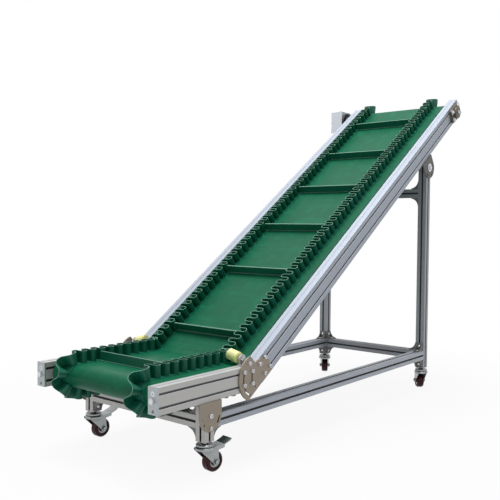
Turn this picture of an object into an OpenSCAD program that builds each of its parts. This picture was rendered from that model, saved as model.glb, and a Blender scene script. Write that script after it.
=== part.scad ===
// Incline belt conveyor on casters: a level loading section, a knee and an inclined lift.
// X runs from the tail (loading) end to the head (discharge) end, Y to the left side, Z up.

/* [Conveyor frame] */
// Overall width across the side rails
frame_w = 576; // [500:4:700]
// Height of the loading section's rail tops above the floor
load_h = 302; // [290:2:340]
// Length of the level loading section
load_len = 418; // [380:2:520]
// Length of the inclined rails
lift_len = 1912; // [1600:8:2200]
// Angle of the inclined section
lift_deg = 34.5; // [30:0.5:38]
// Width of every aluminium profile
prof_w = 40; // [40:1:45]
// Height of the side rails
rail_h = 80; // [80:1:90]
// Opening of the profiles' T-slots
slot_w = 8; // [6:0.5:9]

/* [Belt] */
// Gap between the belt's edges and the side rails
belt_gap = 6; // [5:1:20]
// Thickness of the belt
belt_t = 3; // [2:0.5:4]
// Outer radius of the belt where it wraps the drums
wrap_r = 38; // [36:0.5:39]
// Distance from the tail end of the rails to the tail drum's axis
tail_inset = 60; // [56:1:90]
// Distance from the head end of the rails to the head drum's axis
head_inset = 66; // [60:1:90]
// Height of the corrugated sidewalls
wall_h = 40; // [30:1:42]
// Distance from a belt edge to the middle of its sidewall
wall_inset = 67; // [60:1:90]
// Width of a sidewall's waves
wave_w = 42; // [36:1:44]
// Length of one wave
wave_len = 36; // [34:1:44]
// Thickness of the sidewall sheet
wall_t = 2.4; // [2:0.1:3]
// Height of the cleats
cleat_h = 32; // [24:1:36]
// Thickness of the cleats
cleat_t = 5; // [4:0.5:7]
// Distance between cleats
cleat_pitch = 301; // [280:1:330]
// Distance from the knee to the first cleat above it
cleat_first = 96; // [60:1:160]
// Distance from that cleat to the next one, by the belt's splice
cleat_splice = 356; // [280:1:380]
// Distance from the tail drum to the cleat before the knee
cleat_tail = 90; // [70:1:110]

/* [Stand] */
// Distance from the tail end to the middle of the front legs
front_leg_x = 210; // [180:1:260]
// Distance from the tail end to the middle of the rear legs
rear_leg_x = 1690; // [1500:1:1720]
// Height of the legs' lower ends above the floor
leg_foot_z = 99; // [98:1:110]
// Height of the middle of the base rails
base_z = 159; // [150:1:165]
// Distance from the rear pivots down to the middle of the upper cross rail
upper_drop = 118; // [110:1:200]

/* [Casters] */
// Diameter of the caster wheels
wheel_d = 65; // [60:1:70]
// Width of the caster wheels
wheel_w = 30; // [26:1:32]
// Distance from swivel axis to axle
trail = 30; // [25:1:34]

/* [Hidden] */

ALU = "#b4b4b6";
STEEL = "#8c8278";
BRIGHT = "#c8ccd0";
GREEN = "#12693f";
CREAM = "#f0eda6";
WINE = "#57262c";

// Main levels and the knee
rail_y = frame_w / 2;
gap_y = rail_y - prof_w;
leg_y = rail_y - prof_w / 2;
axis_z = load_h - rail_h / 2;
rail_foot_z = load_h - rail_h;
half_tan = tan(lift_deg / 2);
knee_x = load_len + rail_h / 2 * half_tan;
// Distance along the lift's middle line from the knee to the rails' two ends and the drum
lift_start = rail_h / 2 * half_tan;
lift_end = lift_start + lift_len;
head_at = lift_end - head_inset;
plate_t = 5;
// What pieces that rest on each other keep between them, and round a shaft
seat = 0.2;
belt_w = 2 * (gap_y - belt_gap);
wall_gap = belt_w - 2 * wall_inset;

// The file's own middle, which is the object's origin
fan_r = wrap_r + wall_h;
min_x = tail_inset - fan_r;
head_x = knee_x + head_at * cos(lift_deg);
max_x = max(head_x + fan_r, knee_x + lift_end * cos(lift_deg) + rail_h / 2 * sin(lift_deg));
shaft_out = 28;
gear_y = rail_y + 38;
gear_deep = 66;
motor_d = 86;
min_y = -rail_y - shaft_out;
max_y = gear_y + gear_deep / 2 + motor_d / 2 + 1;
mid = [(min_x + max_x) / 2, (min_y + max_y) / 2];

// Turns a drawing in the side view (x to the right, z up) into the object's frame
module side(y0, y1) {
    translate([0, y1, 0]) rotate([90, 0, 0]) linear_extrude(y1 - y0) children();
}

// The lift's own frame: x along its middle line from the knee, z square to it
module on_lift() {
    translate([knee_x, 0, axis_z]) rotate([0, -lift_deg, 0]) children();
}

module centred() {
    translate([-mid[0], -mid[1], 0]) children();
}

// Profiles

slot_lip = 2;
slot_room = [16, 5];
core_d = 6.8;

// One T-slot, cut from a face at x = 0 into +X
module slot_cut() {
    translate([-1, -slot_w / 2]) square([slot_lip + 1.01, slot_w]);
    translate([slot_lip, -slot_room[0] / 2]) square([slot_room[1], slot_room[0]]);
}

// Section of a profile, w along X and h along Y, with a slot every prof_w of its height
module section(h) {
    cells = h > prof_w ? [-h / 4, h / 4] : [0];
    difference() {
        square([prof_w, h], center = true);
        for (y = cells) {
            translate([-prof_w / 2, y]) slot_cut();
            translate([prof_w / 2, y]) mirror([1, 0]) slot_cut();
            translate([0, y]) circle(d = core_d, $fn = 24);
        }
        for (m = [0, 1]) mirror([0, m]) translate([0, -h / 2]) rotate(90) slot_cut();
    }
}

// A profile along +X from the origin
module bar(len, h = prof_w) {
    rotate([90, 0, 90]) linear_extrude(len) section(h);
}

screw_d = 10;
screw_head_d = 19;
shaft_d = 20;
// The sliding block that holds the tail drum's shaft, and the pocket it slides in
block_size = [28, 22, 28];
block_play = 10;

module lower_rail(k) {
    color(ALU) centred() translate([0, k * leg_y, axis_z]) difference() {
        bar(load_len - 1, rail_h);
        translate([-1, 0, 0]) rotate([0, 90, 0]) cylinder(d = screw_d + 1, h = tail_inset, $fn = 32);
        translate([tail_inset - block_size[0] / 2 - block_play, k > 0 ? -prof_w : -block_size[1] / 2 - 1,
                   -block_size[2] / 2 - 1])
            cube([block_size[0] + 2 * block_play, prof_w + block_size[1] / 2 + 1, block_size[2] + 2]);
    }
}

module lift_rail(k) {
    color(ALU) centred() on_lift() difference() {
        translate([lift_start + 1, k * leg_y, 0]) bar(lift_len - 1, rail_h);
        translate([head_at, k * leg_y, 0]) rotate([90, 0, 0])
            cylinder(d = shaft_d + 8, h = prof_w + 2, center = true, $fn = 48);
    }
}

module rail_lower_right() { lower_rail(-1); }
module rail_lower_left() { lower_rail(1); }
module rail_lift_right() { lift_rail(-1); }
module rail_lift_left() { lift_rail(1); }

end_hole_d = 9;
// Height of the end plates' open lower holes over the rails' lower faces
end_hole_z = 10;

module tail_end_plates() {
    color(ALU) centred() for (k = [-1, 1]) translate([-plate_t, k * leg_y, rail_foot_z]) difference() {
        translate([0, -prof_w / 2, 0]) cube([plate_t, prof_w, rail_h]);
        translate([-1, 0, rail_h / 2]) rotate([0, 90, 0]) cylinder(d = screw_d + 1, h = plate_t + 2, $fn = 32);
        translate([-1, 0, end_hole_z]) rotate([0, 90, 0]) cylinder(d = end_hole_d, h = plate_t + 2, $fn = 32);
    }
}

// Take-up screws with the sliding blocks that hold the tail drum's shaft
module tail_tensioners() {
    head_h = 8;
    color(BRIGHT) centred() for (k = [-1, 1]) translate([0, k * leg_y, axis_z]) difference() {
        union() {
            translate([-plate_t - head_h, 0, 0]) rotate([0, 90, 0]) cylinder(d = screw_head_d, h = head_h, $fn = 6);
            translate([-plate_t - 1, 0, 0]) rotate([0, 90, 0])
                cylinder(d = screw_d, h = tail_inset + plate_t, $fn = 32);
            translate([tail_inset, 0, 0]) cube(block_size, center = true);
        }
        translate([tail_inset, 0, 0]) rotate([90, 0, 0])
            cylinder(d = shaft_d + 2 * seat, h = prof_w, center = true, $fn = 48);
    }
}

// Knee plates

knee_r = 76;
// The plate's end along the lift and its lower edge under the lift's middle line
knee_arm = 79;
knee_low = 33;
knee_slot_w = 6;
// The plate's own middle, about which its slots run
knee_mid = [load_len - 1, axis_z + 1];

// Outline in the side view, before its slots
module knee_outline() {
    lobe = [[-2 * knee_r, -knee_low], [21, -knee_low], [21, 46], [11, 94], [-2 * knee_r, 94]];
    arm = [[0, -knee_low], [knee_arm, -knee_low], [knee_arm, 8], [66, 33], [25, 45], [0, 47]];
    intersection() {
        translate(knee_mid) circle(r = knee_r, $fn = 96);
        translate([knee_x, axis_z]) rotate(lift_deg) polygon(lobe);
    }
    translate([knee_x, axis_z]) rotate(lift_deg) polygon(arm);
}

module arc_slot(r, w, a0, a1) {
    difference() {
        circle(r = r + w / 2, $fn = 96);
        circle(r = r - w / 2, $fn = 96);
        rotate(a0 - 180) translate([-2 * r, 0]) square([4 * r, 2 * r]);
        rotate(a1) translate([-2 * r, 0]) square([4 * r, 2 * r]);
    }
}

module knee_plate(y) {
    color(STEEL) centred() side(y, y + plate_t) difference() {
        knee_outline();
        translate(knee_mid) {
            arc_slot(54, knee_slot_w, 157, 203);
            arc_slot(57, knee_slot_w, 208, 250);
            translate([-15, -20]) square([knee_slot_w, 44]);
            translate([4, -30]) circle(d = 7, $fn = 24);
        }
    }
}

module knee_plate_right() { knee_plate(-rail_y - plate_t); }
module knee_plate_left() { knee_plate(rail_y); }

// Ties between the side rails, inside the belt's loop
module cross_tie() {
    rotate([0, 0, 90]) translate([-gap_y, 0, 0]) bar(2 * gap_y);
}

module cross_ties() {
    color(ALU) centred() {
        for (i = [1, 2]) translate([load_len * i / 3, 0, axis_z]) cross_tie();
        on_lift() for (i = [1:4]) translate([lift_end * i / 5, 0, 0]) cross_tie();
    }
}

// Belt path

bend_r = 60;
return_r = 33;
lift_a = lift_deg * PI / 180;
carry_tan = bend_r * half_tan;
return_tan = return_r * half_tan;
// Rows are length and turn, from the top of the tail drum, along the belt's outer face
PATH = [
    [knee_x - wrap_r * half_tan - carry_tan - tail_inset, 0],
    [bend_r * lift_a, lift_deg],
    [head_at - wrap_r * half_tan - carry_tan, 0],
    [PI * wrap_r, -180],
    [head_at + wrap_r * half_tan - return_tan, 0],
    [return_r * lift_a, -lift_deg],
    [knee_x + wrap_r * half_tan - return_tan - tail_inset, 0],
    [PI * wrap_r, -180]];

function moved(p, len, turn) = turn == 0
    ? [p[0] + len * cos(p[2]), p[1] + len * sin(p[2]), p[2]]
    : let(r = len / (turn * PI / 180))
      [p[0] + r * (sin(p[2] + turn) - sin(p[2])), p[1] - r * (cos(p[2] + turn) - cos(p[2])), p[2] + turn];
function start_of(i) = i == 0 ? [tail_inset, axis_z + wrap_r, 0]
    : moved(start_of(i - 1), PATH[i - 1][0], PATH[i - 1][1]);
function length_to(i) = i == 0 ? 0 : length_to(i - 1) + PATH[i - 1][0];
STARTS = [for (i = [0:len(PATH) - 1]) start_of(i)];
RUNS = [for (i = [0:len(PATH)]) length_to(i)];
loop_len = RUNS[len(PATH)];
// The stretch that holds distance s, and the place there as x, z and heading
function stretch(s, i = 0) = i == len(PATH) - 1 || s <= RUNS[i + 1] ? i : stretch(s, i + 1);
function at(s0) = let(s = s0 - loop_len * floor(s0 / loop_len), i = stretch(s), d = s - RUNS[i])
    moved(STARTS[i], d, PATH[i][1] * d / PATH[i][0]);

// Places children at distance s, x along the belt and z out of its face
module on_belt(s) {
    p = at(s);
    translate([p[0], 0, p[1]]) rotate([0, -p[2], 0]) translate([0, 0, seat]) children();
}

function in_space(s, y, h) = let(p = at(s)) [p[0] - h * sin(p[2]), y, p[1] + h * cos(p[2])];

// The belt's side view at height h over its outer face: bends get a point about every arc_step
arc_step = 7.5;
function loop_points(h) = [for (i = [0:len(PATH) - 1]) let(n = max(1, ceil(abs(PATH[i][1]) / arc_step)))
    each [for (k = [0:n - 1]) let(q = in_space(RUNS[i] + k * PATH[i][0] / n, 0, h)) [q[0], q[2]]]];

module belt() {
    color(GREEN) centred() side(-belt_w / 2, belt_w / 2) difference() {
        polygon(loop_points(0));
        polygon(loop_points(-belt_t));
    }
}

// Corrugated sidewalls: half rings joined by straight webs on the straights,
// and the same waves fanned out or closed up where the belt bends
web = wave_w / 2 - wave_len / 4 - wall_t / 2;
ring_steps = 6;
// Wave lengths are whole multiples of this, so that rings and webs meet exactly
wave_unit = 0.04;

// How far a short bend's single wave reaches into the straights beside it
function ease(i) = max(0, (wave_len - PATH[i % len(PATH)][0]) / 2);
// Number, length and first distance of the waves on the straight number i
function run_room(i) = PATH[i][0] - ease(i + 7) - ease(i + 1);
function run_n(i) = round(run_room(i) / wave_len);
function run_p(i) = wave_unit * floor(run_room(i) / run_n(i) / wave_unit);
function run_from(i) = RUNS[i] + ease(i + 7) + (run_room(i) - run_n(i) * run_p(i)) / 2;
function run_to(i) = run_from(i) + run_n(i) * run_p(i);

// Plan of n sheet waves of length p along X, starting and ending on their middle line
module waves(n, p) {
    r = p / 4;
    for (j = [0:2 * n - 1]) translate([(2 * j + 1) * r, 0]) mirror([0, j % 2]) translate([0, web]) intersection() {
        difference() {
            circle(r = r + wall_t / 2, $fn = 48);
            circle(r = r - wall_t / 2, $fn = 48);
        }
        translate([-2 * r, 0]) square([4 * r, 2 * r]);
    }
    for (j = [0:2 * n]) translate([2 * j * r - wall_t / 2, j == 0 ? 0 : -web])
        square([wall_t, j == 0 || j == 2 * n ? web : 2 * web]);
}

module wave_run(i) {
    on_belt(run_from(i)) linear_extrude(wall_h) waves(run_n(i), run_p(i));
}

// Middle line of one wave of length p, up to the start of the next
function wave_line(p) = let(r = p / 4, n = ring_steps) concat([[0, 0]],
    [for (j = [0:n]) [r - r * cos(180 * j / n), web + r * sin(180 * j / n)]],
    [for (j = [0:n]) [3 * r - r * cos(180 * j / n), -web - r * sin(180 * j / n)]]);

// Waves round the bend number i as one closed sheet that follows the belt's path
module wave_bend(i) {
    s0 = run_to(i - 1);
    len = (i == 7 ? loop_len + run_from(0) : run_from(i + 1)) - s0;
    n = max(1, round(len / wave_len));
    line = [for (k = [0:n - 1]) each [for (q = wave_line(len / n)) [s0 + k * len / n + q[0], q[1]]],
            [s0 + len, 0]];
    m = len(line) - 1;
    pts = [for (k = [0:m]) let(
            t = k == 0 || k == m ? [0, 1] : line[k + 1] - line[k - 1],
            o = wall_t / 2 * [-t[1], t[0]] / norm(t), l = line[k] + o, r = line[k] - o)
        each [in_space(l[0], l[1], seat), in_space(r[0], r[1], seat),
              in_space(r[0], r[1], wall_h + seat), in_space(l[0], l[1], wall_h + seat)]];
    sides = [for (k = [0:m - 1], j = [0:3]) let(a = 4 * k + j, b = 4 * k + (j + 1) % 4) each
        [[a, a + 4, b], [b, a + 4, b + 4]]];
    polyhedron(pts, concat([[0, 1, 2], [0, 2, 3]], sides,
        [[4 * m, 4 * m + 2, 4 * m + 1], [4 * m, 4 * m + 3, 4 * m + 2]]));
}

module sidewall(y) {
    color(GREEN) centred() translate([0, y, 0]) for (i = [0:2:6]) wave_run(i);
}

module sidewall_bends() {
    color(GREEN) centred() for (y = [-1, 1]) translate([0, y * wall_gap / 2, 0])
        for (i = [1:2:7]) wave_bend(i);
}

module sidewall_right() { sidewall(-wall_gap / 2); }
module sidewall_left() { sidewall(wall_gap / 2); }

cleat_w = wall_gap - wave_w - 1;
cleat_foot = [16, 2];

module cleat() {
    translate([-cleat_t / 2, -cleat_w / 2, 0]) cube([cleat_t, cleat_w, cleat_h]);
    translate([-cleat_foot[0] / 2, -cleat_w / 2, 0]) cube([cleat_foot[0], cleat_w, cleat_foot[1]]);
}

module cleats() {
    first = RUNS[2] + cleat_first;
    second = first + cleat_splice;
    color(GREEN) centred() {
        for (s = [cleat_tail, first]) on_belt(s) cleat();
        for (k = [0:floor((loop_len + cleat_tail - second) / cleat_pitch) - 1])
            on_belt(second + k * cleat_pitch) cleat();
    }
}

// Beds, drums and rollers

bed_t = 2;
bed_drop = wrap_r - belt_t - prof_w / 2 - 2;
// How far the beds stop short of the drums' axes
bed_gap = 18;

// Folded sheet along +X under a straight stretch of belt, its top face at z = 0
module bed(len) {
    translate([0, -gap_y, -bed_t]) cube([len, 2 * gap_y, bed_t]);
    for (k = [-1, 1]) translate([0, k * (gap_y - bed_t / 2) - bed_t / 2, -bed_drop]) cube([len, bed_t, bed_drop]);
}

module bed_lower() {
    color(BRIGHT) centred() translate([tail_inset + bed_gap, 0, axis_z + wrap_r - belt_t - seat])
        bed(PATH[0][0] - bed_gap);
}

module bed_lift() {
    color(BRIGHT) centred() on_lift() translate([wrap_r * half_tan + carry_tan, 0, wrap_r - belt_t - seat])
        bed(PATH[2][0] - bed_gap);
}

module drum(len, shaft_len) {
    rotate([90, 0, 0]) {
        cylinder(r = wrap_r - belt_t - seat, h = len, center = true, $fn = 96);
        cylinder(d = shaft_d, h = shaft_len, center = true, $fn = 48);
    }
}

module drum_tail() {
    color(BRIGHT) centred() translate([tail_inset, 0, axis_z]) drum(belt_w - 4, 2 * leg_y + 16);
}

module drum_head() {
    color(BRIGHT) at_head() {
        drum(belt_w - 4, 2 * (rail_y + shaft_out));
        translate([0, rail_y, 0]) rotate([-90, 0, 0]) cylinder(d = shaft_d, h = gear_y + gear_deep - rail_y, $fn = 48);
    }
}

// Plain roller inside the loop that turns the returning belt at the knee
module roller_knee() {
    color(BRIGHT) centred() translate([STARTS[6][0], 0, STARTS[6][1] + return_r]) rotate([90, 0, 0]) {
        cylinder(r = return_r - belt_t - seat, h = belt_w - 4, center = true, $fn = 96);
        cylinder(d = 12, h = 2 * (rail_y - seat), center = true, $fn = 48);
    }
}

strip_w = 26;
strip_t = 2;

// Plastic angles on the rails' inner faces that carry the returning belt's margins
module strip_pair(len) {
    for (k = [-1, 1]) {
        translate([0, k * (gap_y - strip_w / 2) - strip_w / 2, -strip_t - seat]) cube([len, strip_w, strip_t]);
        translate([0, k * (gap_y - strip_t / 2) - strip_t / 2, -strip_t - seat]) cube([len, strip_t, 16]);
    }
}

module return_strips() {
    color("white") centred() {
        translate([tail_inset + 40, 0, axis_z - wrap_r]) strip_pair(PATH[6][0] - 60);
        on_lift() translate([lift_start + 60, 0, -wrap_r]) strip_pair(lift_len - 180);
    }
}

// Head drive

// Four-bolt bearing plate: its size and its bolts' spacing, along the rail and across it
bearing_w = [104, 66];
bearing_bolts = [74, 40];
bearing_t = 12;
bearing_out = 22;
boss_d = 56;

module bearing(k) {
    color(STEEL) centred() on_lift() translate([head_at, k * rail_y, 0]) rotate([-90 * k, 0, 0]) difference() {
        union() {
            linear_extrude(bearing_t) {
                square([bearing_w[0] - 20, bearing_w[1]], center = true);
                square([bearing_w[0], bearing_w[1] - 20], center = true);
                for (i = [-1, 1], j = [-1, 1]) translate([i * (bearing_w[0] / 2 - 10), j * (bearing_w[1] / 2 - 10)])
                    circle(r = 10, $fn = 48);
            }
            cylinder(d = boss_d, h = bearing_out, $fn = 64);
        }
        translate([0, 0, -1]) cylinder(d = shaft_d + 2 * seat, h = bearing_out + 2, $fn = 48);
        for (i = [-1, 1], j = [-1, 1]) translate([i * bearing_bolts[0] / 2, j * bearing_bolts[1] / 2, -1])
            cylinder(d = 9, h = bearing_t + 2, $fn = 24);
    }
}

module bearing_right() { bearing(-1); }
module bearing_left() { bearing(1); }

// Upright worm gearbox on the head shaft, with its motor hanging under it
gear_w = 88;
gear_up = 58;
gear_down = 52;
head_z = axis_z + head_at * sin(lift_deg);

module at_head() {
    centred() translate([head_x, 0, head_z]) children();
}

module gearbox() {
    color("#dfe8f6") at_head() difference() {
        union() {
            translate([-gear_w / 2, gear_y, -gear_down]) cube([gear_w, gear_deep, gear_down + gear_up]);
            translate([0, gear_y - 4, 0]) rotate([-90, 0, 0]) cylinder(d = 60, h = gear_deep + 8, $fn = 64);
        }
        translate([0, gear_y - 5, 0]) rotate([-90, 0, 0])
            cylinder(d = shaft_d + 2 * seat, h = gear_deep + 20, $fn = 48);
    }
}

// Round flange that carries the gearbox on the head bearing's plate
module gear_flange() {
    disc_t = 10;
    neck = gear_y - 4 - disc_t - rail_y - bearing_t;
    color("#16181a") at_head() translate([0, rail_y + bearing_t, 0]) rotate([-90, 0, 0]) difference() {
        union() {
            cylinder(d = boss_d + 14, h = neck + 1, $fn = 64);
            translate([0, 0, neck]) cylinder(d = 100, h = disc_t, $fn = 96);
        }
        translate([0, 0, -1]) cylinder(d = boss_d + 2, h = neck + 1, $fn = 64);
        cylinder(d = shaft_d + 6, h = neck + disc_t + 1, $fn = 48);
    }
}

motor_len = 130;
cover_len = 34;

module motor() {
    color("#cfe0f2") at_head() translate([0, gear_y + gear_deep / 2, -gear_down - motor_len]) {
        cylinder(d = motor_d, h = motor_len - 10, $fn = 64);
        translate([0, 0, motor_len - 10]) cylinder(d = 80, h = 10, $fn = 64);
    }
}

module motor_cover() {
    color("#16181a") at_head() translate([0, gear_y + gear_deep / 2, -gear_down - motor_len - cover_len])
        difference() {
            cylinder(d = motor_d + 2, h = cover_len, $fn = 64);
            translate([0, 0, -1]) cylinder(d = motor_d - 6, h = cover_len - 5, $fn = 64);
        }
}

// Hold-down at the knee

hold_d = 38;
hold_shaft_d = 10;
hold_x = load_len - 22;
// The rollers lean, with their inner ends up
hold_tilt = 12;
// Gaps from the roller to the belt, the sidewall and the rail's inner face
hold_gap = 5;
hold_side = 2;
hold_z = axis_z + wrap_r + hold_gap + hold_d / 2;
hold_len = gap_y - hold_side - wall_gap / 2 - wave_w / 2 - hold_gap;

// Puts the roller's outer end at the origin and the roller along +Z
module at_hold(k) {
    centred() translate([hold_x, k * (gap_y - hold_side), hold_z]) rotate([k * (90 - hold_tilt), 0, 0]) children();
}

module holddown_bracket(k) {
    color(BRIGHT) {
        centred() translate([hold_x, 0, 0]) {
            side(k > 0 ? gap_y + 2 : -gap_y - 34, k > 0 ? gap_y + 34 : -gap_y - 2)
                translate([-16, load_h + seat]) square([32, 4]);
            side(k > 0 ? gap_y + 8 : -gap_y - 12, k > 0 ? gap_y + 12 : -gap_y - 8) {
                translate([-16, load_h + seat]) square([32, hold_z - load_h]);
                translate([0, hold_z - 2]) circle(d = 32, $fn = 48);
            }
        }
        at_hold(k) {
            translate([0, 0, -22]) cylinder(d = hold_shaft_d, h = 22 + hold_len, $fn = 32);
            translate([0, 0, -22]) cylinder(d = 17, h = 8, $fn = 6);
            translate([0, 0, -10]) cylinder(d = 16, h = 9.5, $fn = 32);
        }
    }
}

module holddown_bracket_right() { holddown_bracket(-1); }
module holddown_bracket_left() { holddown_bracket(1); }

module holddown_roller(k) {
    color(CREAM) at_hold(k) translate([0, 0, hold_len / 2]) difference() {
        union() {
            cylinder(d = hold_d, h = hold_len - 6, center = true, $fn = 64);
            cylinder(d = hold_d - 6, h = hold_len, center = true, $fn = 64);
        }
        cylinder(d = hold_shaft_d + 0.1, h = hold_len + 2, center = true, $fn = 48);
    }
}

module holddown_roller_right() { holddown_roller(-1); }
module holddown_roller_left() { holddown_roller(1); }

// Stand

// Half-disc plates that hold the legs under the rails, and their pivot bolts
pivot_r = 48.5;
pivot_drop = 42;
pivot_d = 12;
// Height of the lift rails' lower faces over the point x
function under_lift(x) = axis_z + (x - knee_x) * tan(lift_deg) - rail_h / 2 / cos(lift_deg);
front_pivot_z = rail_foot_z - pivot_drop;
rear_pivot_z = under_lift(rear_leg_x) - pivot_drop / cos(lift_deg);
upper_cross_z = rear_pivot_z - upper_drop;
front_top_z = rail_foot_z - plate_t - 2 * seat;
rear_top_z = under_lift(rear_leg_x - prof_w / 2) - plate_t / cos(lift_deg) - 1;

module legs(x, top, pivot_z) {
    color(ALU) centred() for (k = [-1, 1]) translate([x, k * leg_y, 0]) difference() {
        translate([0, 0, leg_foot_z]) linear_extrude(top - leg_foot_z) section(prof_w);
        translate([0, 0, pivot_z]) rotate([90, 0, 0])
            cylinder(d = pivot_d + 2 * seat, h = prof_w + 2, center = true, $fn = 32);
    }
}

module legs_front() { legs(front_leg_x, front_top_z, front_pivot_z); }
module legs_rear() { legs(rear_leg_x, rear_top_z, rear_pivot_z); }

// One pivot with its origin on the pivot's axis and the rail's lower face over it
module pivot(k) {
    y = k > 0 ? rail_y : -rail_y - plate_t;
    side(y, y + plate_t) difference() {
        union() {
            circle(r = pivot_r, $fn = 96);
            translate([-pivot_r, 0]) square([2 * pivot_r, pivot_drop - seat]);
        }
        arc_slot(38, 6, 188, 222);
        arc_slot(38, 6, 318, 352);
        arc_slot(38, 6, 262, 278);
        // open corners over the rail's lower face
        translate([-2 * pivot_r, pivot_drop - seat]) square([4 * pivot_r, pivot_r]);
    }
    translate([-pivot_r, k * leg_y - prof_w / 2, pivot_drop - seat - plate_t])
        cube([2 * pivot_r, prof_w, plate_t]);
    translate([0, k * (rail_y + 1), 0]) rotate([90 * k, 0, 0]) cylinder(d = pivot_d, h = prof_w, $fn = 32);
}

module pivots_front() {
    color(STEEL) centred() for (k = [-1, 1]) translate([front_leg_x, 0, front_pivot_z]) pivot(k);
}

module pivots_rear() {
    color(STEEL) centred() for (k = [-1, 1]) translate([rear_leg_x, 0, rear_pivot_z])
        rotate([0, -lift_deg, 0]) pivot(k);
}

module base_rails() {
    color(ALU) centred() for (k = [-1, 1]) translate([front_leg_x + prof_w / 2, k * leg_y, base_z])
        bar(rear_leg_x - front_leg_x - prof_w);
}

module cross_rail(x, z) {
    color(ALU) centred() translate([x, 0, z]) cross_tie();
}

module cross_rail_front() { cross_rail(front_leg_x, base_z); }
module cross_rail_rear() { cross_rail(rear_leg_x, base_z); }
module cross_rail_upper() { cross_rail(rear_leg_x, upper_cross_z); }

gus = 37;
gus_w = 30;
gus_t = 4;

// Cast corner bracket between +X and +Z, its two ribs curved in
module gusset() {
    translate([0, -gus_w / 2, 0]) cube([gus, gus_w, gus_t]);
    translate([0, -gus_w / 2, 0]) cube([gus_t, gus_w, gus]);
    for (y = [-gus_w / 2, gus_w / 2 - gus_t]) side(y, y + gus_t) difference() {
        square(gus);
        translate([gus + gus_t, gus + gus_t]) circle(r = norm([gus, gus_t]), $fn = 64);
    }
}

module gusset_pair() {
    for (m = [0, 1]) mirror([0, 0, m]) translate([0, 0, prof_w / 2]) gusset();
}

module gussets() {
    half = prof_w / 2;
    color(STEEL) centred() for (k = [-1, 1]) {
        translate([front_leg_x + half, k * leg_y, base_z]) gusset_pair();
        translate([rear_leg_x - half, k * leg_y, base_z]) mirror([1, 0, 0]) gusset_pair();
        // rows are the cross rails' x and z
        for (c = [[front_leg_x, base_z], [rear_leg_x, base_z], [rear_leg_x, upper_cross_z]])
            translate([c[0], k * gap_y, c[1]]) rotate([0, 0, -90 * k]) gusset_pair();
    }
}

// Casters

// Levels from the leg's foot down: nut, race, running gap, fork crown
nut_h = 6;
race_h = 9;
race_gap = 1;
crown_h = 9;
race_d = 56;
stem_d = 12;
fork_in = wheel_w + 5;
cheek_t = 2.5;
axle_d = 8;
pedal_reach = 94;
crown_z = leg_foot_z - nut_h - race_h - race_gap;
// Rows are x, y side, whether it has a brake pedal, and the direction it trails
CASTERS = [
    [front_leg_x, -1, true, -7],
    [front_leg_x, 1, true, 0],
    [rear_leg_x, -1, false, 40],
    [rear_leg_x, 1, false, 32]];

module at_caster(i) {
    c = CASTERS[i];
    centred() translate([c[0], c[1] * leg_y, 0]) rotate([0, 0, c[3]]) children();
}

// Fixed upper races with the stems that screw into the legs
module caster_stems() {
    color(BRIGHT) for (i = [0:3]) at_caster(i) {
        translate([0, 0, leg_foot_z - nut_h]) cylinder(d = 20, h = nut_h, $fn = 6);
        translate([0, 0, crown_z + race_gap]) rotate_extrude($fn = 96)
            polygon([[0, 0], [race_d / 2 - 2, 0], [race_d / 2, 2], [race_d / 2, race_h - 3],
                     [race_d / 2 - 4, race_h], [0, race_h]]);
        translate([0, 0, crown_z - crown_h - 2]) cylinder(d = stem_d, h = crown_h + 2 + race_gap, $fn = 48);
    }
}

// One cheek of the fork in the side view
module cheek() {
    axle = [trail, wheel_d / 2];
    difference() {
        union() {
            polygon([[-race_d / 2 + 1, crown_z - 3], [-race_d / 2 + 1, crown_z - crown_h],
                     [axle[0] - 11, axle[1] - 3], [axle[0] + 11, axle[1]], [axle[0] + 9, crown_z - 16],
                     [race_d / 2 + 4, crown_z - 3]]);
            translate(axle) circle(r = 11, $fn = 48);
        }
        translate(axle) circle(d = axle_d, $fn = 32);
    }
}

module pedal() {
    rise = 9;
    start = trail - 6;
    for (y = [-fork_in / 2 - cheek_t, fork_in / 2]) side(y, y + cheek_t)
        polygon([[start, crown_z - 17], [start + 40, crown_z - 12], [start + 40, crown_z - 4], [start, crown_z - 4]]);
    side(-fork_in / 2 - cheek_t, fork_in / 2 + cheek_t)
        polygon([[start, crown_z - 6], [start + 40, crown_z - 4], [pedal_reach - 8, crown_z + rise - 6],
                 [pedal_reach, crown_z + rise], [pedal_reach - 2, crown_z + rise + 2],
                 [pedal_reach - 12, crown_z + rise - 3], [start + 38, crown_z - 1], [start, crown_z - 3]]);
}

module fork(i) {
    color(BRIGHT) at_caster(i) {
        for (y = [-fork_in / 2 - cheek_t, fork_in / 2]) side(y, y + cheek_t) cheek();
        difference() {
            translate([0, 0, crown_z - crown_h]) rotate_extrude($fn = 96)
                polygon([[stem_d / 2 + 0.05, 0], [race_d / 2 + 2, 0], [race_d / 2 + 2, crown_h - 3],
                         [race_d / 2 - 1, crown_h], [stem_d / 2 + 0.05, crown_h]]);
            translate([trail, 0, wheel_d / 2]) rotate([90, 0, 0])
                cylinder(r = wheel_d / 2 + 3, h = wheel_w + 4, center = true, $fn = 96);
        }
        translate([trail, 0, wheel_d / 2]) rotate([90, 0, 0])
            cylinder(d = axle_d, h = fork_in + 2 * cheek_t + 10, center = true, $fn = 48);
        if (CASTERS[i][2]) pedal();
    }
}

module fork_front_right() { fork(0); }
module fork_front_left() { fork(1); }
module fork_rear_right() { fork(2); }
module fork_rear_left() { fork(3); }

// Section of a wheel: tread, side face, hub recess and hub
module wheel_section() {
    r = wheel_d / 2;
    w = wheel_w / 2;
    half = [[r, w - 5], [r - 4, w], [r - 11, w], [r - 12, w - 3], [axle_d / 2 + 7, w - 3],
            [axle_d / 2 + 6, w + 1], [axle_d / 2 + 0.05, w + 1]];
    polygon([each half, for (i = [len(half) - 1:-1:0]) [half[i][0], -half[i][1]]]);
}

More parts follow.
